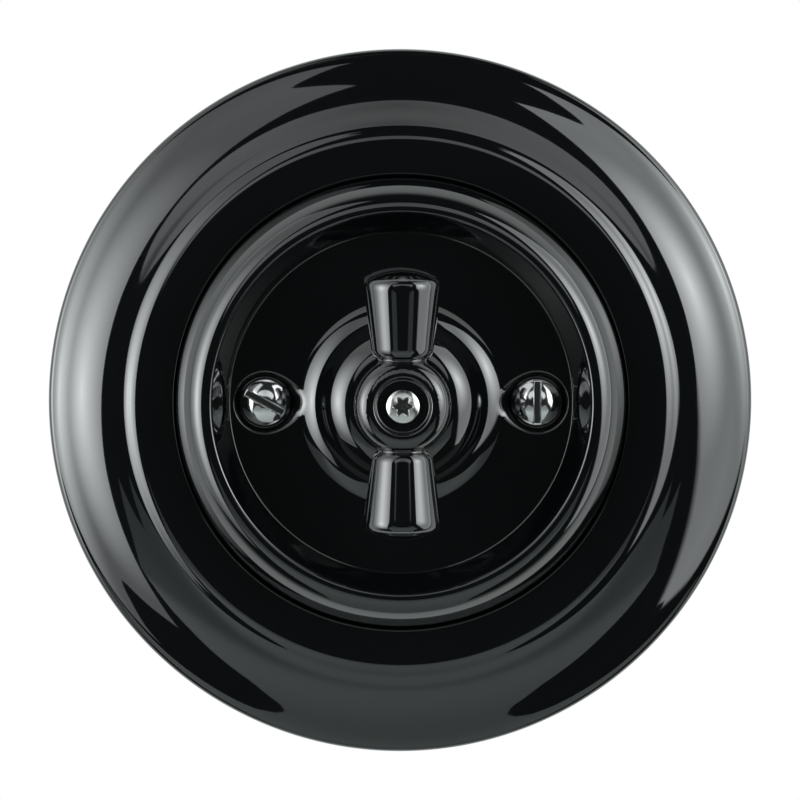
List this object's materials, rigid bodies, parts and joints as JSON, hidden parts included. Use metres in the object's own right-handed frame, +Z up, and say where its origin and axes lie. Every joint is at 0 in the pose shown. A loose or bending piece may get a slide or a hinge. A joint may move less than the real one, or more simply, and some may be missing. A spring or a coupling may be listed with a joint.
{
  "type": "porcelain rotary switch",
  "caption": "Round flush rotary switch of black glazed porcelain: frame ring, dished cover with slotted screws, two-armed knob and quarter-turn mechanism.",
  "frame": {"origin": "middle of the wall plane, on the axis that the knob turns about and midway between the two slots for the wall screws", "axes": "-Y points out of the wall to the user, +X to the user's right, +Z up; the block reaches into the wall box along +Y"},
  "size_m": [0.1, 0.0497, 0.1],
  "materials": {
    "porcelain": "gloss",
    "porcelain_knob": "gloss",
    "screw_chrome": "polished",
    "screw_bright": "polished",
    "brass": "machined",
    "spindle_brass": "machined",
    "rivet_brass": "satin",
    "contact_brass": "satin",
    "terminal_brass": "satin",
    "zinc_steel": "zinc plated",
    "zinc_screw": "zinc plated",
    "spring_steel": "satin",
    "insulator": "unglazed",
    "rotor_moulding": "moulded"
  },
  "bodies": {
    "wall_unit": {"frame_ring": "porcelain", "cover_dish": "porcelain", "cover_screw_left": "screw_chrome", "cover_screw_right": "screw_chrome", "cover_nut_left": "brass", "cover_nut_right": "brass", "mounting_plate": "zinc_steel", "mechanism_front": "insulator", "mechanism_base": "insulator", "block_rivets": "rivet_brass", "spindle_bush": "brass", "detent_spring_upper": "spring_steel", "detent_spring_lower": "spring_steel", "fixed_contact_1": "contact_brass", "terminal_clamp_1": "terminal_brass", "terminal_screw_1": "zinc_screw", "fixed_contact_2": "contact_brass", "terminal_clamp_2": "terminal_brass", "terminal_screw_2": "zinc_screw", "fixed_contact_3": "contact_brass", "terminal_clamp_3": "terminal_brass", "terminal_screw_3": "zinc_screw", "fixed_contact_4": "contact_brass", "terminal_clamp_4": "terminal_brass", "terminal_screw_4": "zinc_screw"},
    "turning_group": {"knob": "porcelain_knob", "knob_screw": "screw_bright", "spindle": "spindle_brass", "retaining_ring": "spring_steel", "rotor": "rotor_moulding", "contact_bridge": "contact_brass"}
  },
  "joints": [
    {"name": "knob_turn", "type": "hinge", "parent": "wall_unit", "child": "turning_group", "pos_m": [0, 0, 0], "axis": [0, -1, 0], "continuous": true, "deforming": ["detent_spring_upper", "detent_spring_lower"]}
  ]
}
